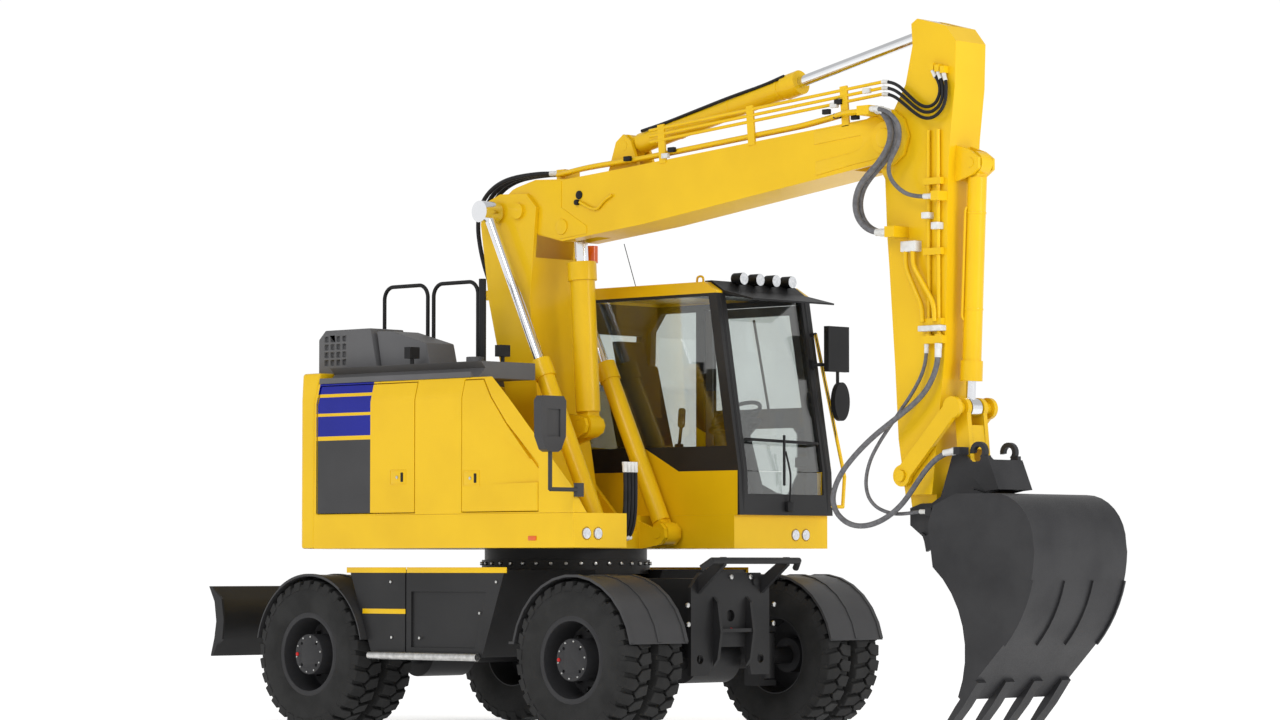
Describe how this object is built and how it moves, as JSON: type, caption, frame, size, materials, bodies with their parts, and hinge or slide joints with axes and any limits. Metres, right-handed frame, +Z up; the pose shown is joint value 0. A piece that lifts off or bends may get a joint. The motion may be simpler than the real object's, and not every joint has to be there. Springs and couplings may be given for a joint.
{
  "type": "wheeled excavator",
  "caption": "Wheeled excavator with a two-piece boom, twin tyres, side cab, swinging upper structure, quick coupler with bucket and a rear dozer blade.",
  "frame": {"origin": "on the ground under the swing axis, half way between the axles", "axes": "+X forward along the travel direction, +Y to the left, +Z up"},
  "size_m": [7.0025, 3.07, 4.661],
  "materials": {
    "yellow_paint": "gloss paint",
    "dark_paint": "satin paint",
    "tyre_rubber": "matt",
    "rim_paint": "satin paint",
    "rod_chrome": "polished",
    "engine_iron": "painted casting",
    "window_glass": "tinted",
    "cab_trim": "grained",
    "tool_steel": "satin paint",
    "hose_rubber": "matt",
    "lamp_glass": "clear lens"
  },
  "bodies": {
    "chassis": {"chassis_frame": "dark_paint", "front_guard": "dark_paint", "front_axle": "dark_paint", "rear_axle": "dark_paint", "right_side_box": "dark_paint", "left_side_box": "dark_paint", "rear_fenders": "dark_paint"},
    "knuckle_left": {"knuckle_left": "dark_paint", "front_fender_left": "dark_paint"},
    "knuckle_right": {"knuckle_right": "dark_paint", "front_fender_right": "dark_paint"},
    "wheel_front_left": {"tyres_front_left": "tyre_rubber", "rim_front_left": "rim_paint"},
    "wheel_front_right": {"tyres_front_right": "tyre_rubber", "rim_front_right": "rim_paint"},
    "wheel_rear_left": {"tyres_rear_left": "tyre_rubber", "rim_rear_left": "rim_paint"},
    "wheel_rear_right": {"tyres_rear_right": "tyre_rubber", "rim_rear_right": "rim_paint"},
    "blade": {"dozer_blade": "dark_paint"},
    "house": {"swing_frame": "yellow_paint", "counterweight": "yellow_paint", "rear_housing": "yellow_paint", "right_housing": "yellow_paint", "engine": "engine_iron", "top_cover": "dark_paint", "exhaust_box": "dark_paint", "handrails": "dark_paint", "right_mirror": "dark_paint", "cab_frame": "yellow_paint", "cab_roof_kit": "dark_paint", "cab_glass": "window_glass", "seat": "cab_trim", "console": "cab_trim", "left_mirror": "dark_paint", "lamps": "lamp_glass", "foot_hoses": "hose_rubber"},
    "cab_door": {"cab_door": "yellow_paint"},
    "right_rear_door": {"right_rear_door": "yellow_paint"},
    "right_front_door": {"right_front_door": "yellow_paint"},
    "left_rear_door": {"left_rear_door": "yellow_paint"},
    "boom_lower": {"boom_lower": "yellow_paint", "knee_hoses": "hose_rubber"},
    "lift_barrels": {"lift_barrels": "yellow_paint"},
    "lift_rods": {"lift_rods": "rod_chrome"},
    "adjust_barrel": {"adjust_barrel": "yellow_paint"},
    "adjust_rod": {"adjust_rod": "rod_chrome"},
    "boom_upper": {"boom_upper": "yellow_paint", "elbow_hoses": "hose_rubber"},
    "arm_barrel": {"arm_barrel": "yellow_paint"},
    "arm_rod": {"arm_rod": "rod_chrome"},
    "arm": {"arm": "yellow_paint", "coupler_hoses": "hose_rubber"},
    "bucket_barrel": {"bucket_barrel": "yellow_paint"},
    "bucket_rod": {"bucket_rod": "rod_chrome"},
    "idler_links": {"idler_links": "yellow_paint"},
    "bucket_link": {"bucket_link": "yellow_paint"},
    "tool": {"coupler": "tool_steel", "bucket": "tool_steel"}
  },
  "joints": [
    {"name": "swing", "type": "hinge", "parent": "chassis", "child": "house", "pos_m": [0, 0, 1.19], "axis": [0, 0, 1], "continuous": true},
    {"name": "steer_left", "type": "hinge", "parent": "chassis", "child": "knuckle_left", "pos_m": [1.3, 0.64, 0.527], "axis": [0, 0, 1], "range_deg": [-30, 30]},
    {"name": "spin_front_left", "type": "hinge", "parent": "knuckle_left", "child": "wheel_front_left", "pos_m": [1.3, 1, 0.527], "axis": [0, 1, 0], "continuous": true},
    {"name": "spin_rear_left", "type": "hinge", "parent": "chassis", "child": "wheel_rear_left", "pos_m": [-1.3, 1, 0.527], "axis": [0, 1, 0], "continuous": true},
    {"name": "steer_right", "type": "hinge", "parent": "chassis", "child": "knuckle_right", "pos_m": [1.3, -0.64, 0.527], "axis": [0, 0, 1], "range_deg": [-30, 30]},
    {"name": "spin_front_right", "type": "hinge", "parent": "knuckle_right", "child": "wheel_front_right", "pos_m": [1.3, -1, 0.527], "axis": [0, 1, 0], "continuous": true},
    {"name": "spin_rear_right", "type": "hinge", "parent": "chassis", "child": "wheel_rear_right", "pos_m": [-1.3, -1, 0.527], "axis": [0, 1, 0], "continuous": true},
    {"name": "blade", "type": "hinge", "parent": "chassis", "child": "blade", "pos_m": [-1.62, 0, 0.6], "axis": [0, 1, 0], "range_deg": [-38, 0]},
    {"name": "cab_door", "type": "hinge", "parent": "house", "child": "cab_door", "pos_m": [0.206, 1.277, 2.28], "axis": [0, 0, 1], "range_deg": [0, 120]},
    {"name": "right_rear_door", "type": "hinge", "parent": "house", "child": "right_rear_door", "pos_m": [-1.189, -1.25, 1.9], "axis": [0, 0, -1], "range_deg": [0, 100]},
    {"name": "right_front_door", "type": "hinge", "parent": "house", "child": "right_front_door", "pos_m": [0.982, -1.25, 1.7], "axis": [0, 0, 1], "range_deg": [0, 100]},
    {"name": "left_rear_door", "type": "hinge", "parent": "house", "child": "left_rear_door", "pos_m": [-1.189, 1.25, 1.9], "axis": [0, 0, 1], "range_deg": [0, 100]},
    {"name": "boom_lift", "type": "hinge", "parent": "house", "child": "boom_lower", "pos_m": [0.065, -0.12, 1.65], "axis": [0, -1, 0], "range_deg": [-70, 5]},
    {"name": "boom_adjust", "type": "hinge", "parent": "boom_lower", "child": "boom_upper", "pos_m": [-0.135, -0.12, 3.63], "axis": [0, 1, 0], "range_deg": [-62, 12], "deforming": ["knee_hoses"]},
    {"name": "arm", "type": "hinge", "parent": "boom_upper", "child": "arm", "pos_m": [3.21, -0.12, 3.905], "axis": [0, -1, 0], "range_deg": [-35, 60], "deforming": ["elbow_hoses"]},
    {"name": "bucket", "type": "hinge", "parent": "arm", "child": "tool", "pos_m": [3.455, -0.12, 1.465], "axis": [0, -1, 0], "range_deg": [-150, 8], "deforming": ["coupler_hoses"]},
    {"name": "lift_barrels_turn", "type": "hinge", "parent": "house", "child": "lift_barrels", "pos_m": [0.775, -0.12, 1.37], "axis": [0, -1, 0], "range_deg": [-64, 6]},
    {"name": "lift_rods_slide", "type": "slide", "parent": "lift_barrels", "child": "lift_rods", "axis": [-0.444, 0, 0.896], "range_m": [-0.84, 0.07]},
    {"name": "adjust_barrel_turn", "type": "hinge", "parent": "boom_lower", "child": "adjust_barrel", "pos_m": [0.343, -0.12, 2.118], "axis": [0, -1, 0], "range_deg": [-3, 3]},
    {"name": "adjust_rod_slide", "type": "slide", "parent": "adjust_barrel", "child": "adjust_rod", "axis": [-0.06, 0, 0.9982], "range_m": [-0.09, 0.44]},
    {"name": "arm_barrel_turn", "type": "hinge", "parent": "boom_upper", "child": "arm_barrel", "pos_m": [0.765, -0.12, 4.035], "axis": [0, -1, 0], "range_deg": [-4, 7]},
    {"name": "arm_rod_slide", "type": "slide", "parent": "arm_barrel", "child": "arm_rod", "axis": [0.9795, 0, 0.2014], "range_m": [-0.68, 0.4]},
    {"name": "bucket_barrel_turn", "type": "hinge", "parent": "arm", "child": "bucket_barrel", "pos_m": [3.83, -0.12, 3.71], "axis": [0, -1, 0], "range_deg": [-3, 4]},
    {"name": "bucket_rod_slide", "type": "slide", "parent": "bucket_barrel", "child": "bucket_rod", "axis": [-0.0448, 0, -0.999], "range_m": [-0.09, 1.02]},
    {"name": "idler_turn", "type": "hinge", "parent": "arm", "child": "idler_links", "pos_m": [3.345, -0.12, 1.722], "axis": [0, -1, 0], "range_deg": [-114, 10]},
    {"name": "link_turn", "type": "hinge", "parent": "idler_links", "child": "bucket_link", "pos_m": [3.76, -0.12, 2.15], "axis": [0, -1, 0], "range_deg": [-6, 58]}
  ],
  "couplings": [
    {"joint": "steer_right", "follows": "steer_left", "ratio": 1},
    {"joint": "lift_barrels_turn", "follows": "boom_lift", "ratio": 0.8712},
    {"joint": "lift_rods_slide", "follows": "boom_lift", "m_per_rad": 0.6713},
    {"joint": "adjust_barrel_turn", "follows": "boom_adjust", "ratio": -0.013},
    {"joint": "adjust_rod_slide", "follows": "boom_adjust", "m_per_rad": -0.3888},
    {"joint": "arm_barrel_turn", "follows": "arm", "ratio": 0.0848},
    {"joint": "arm_rod_slide", "follows": "arm", "m_per_rad": -0.6367},
    {"joint": "bucket_barrel_turn", "follows": "bucket", "ratio": -0.0145},
    {"joint": "bucket_rod_slide", "follows": "bucket", "m_per_rad": -0.3821},
    {"joint": "idler_turn", "follows": "bucket", "ratio": 0.7377},
    {"joint": "link_turn", "follows": "bucket", "ratio": -0.3646}
  ]
}
